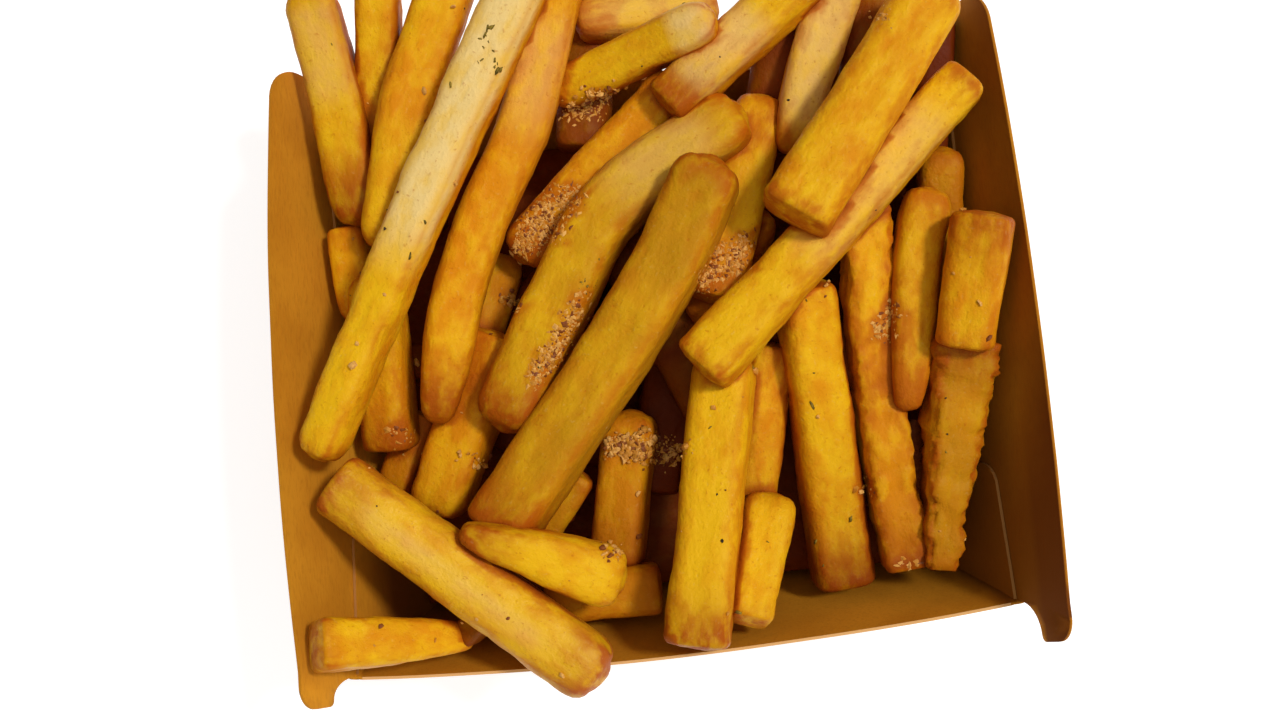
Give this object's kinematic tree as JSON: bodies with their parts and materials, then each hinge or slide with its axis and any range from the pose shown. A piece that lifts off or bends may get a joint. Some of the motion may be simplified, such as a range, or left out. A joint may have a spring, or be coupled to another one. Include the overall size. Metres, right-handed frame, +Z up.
{
  "type": "tray of french fries",
  "caption": "Open folded kraft board tray heaped with thick-cut golden french fries, for serving a takeaway portion.",
  "frame": {"origin": "middle of the flat underside of the tray's base", "axes": "+Z up, +X to the tray's right along its longer base side, +Y to its back, where the fries hang over the rim"},
  "size_m": [0.1177, 0.1265, 0.0597],
  "materials": {
    "kraft_board": "matt brown kraft board",
    "fried_potato": "golden fried potato with a thin sheen of oil"
  },
  "bodies": {
    "root": {"carton": "kraft_board", "fries": "fried_potato"}
  },
  "joints": []
}
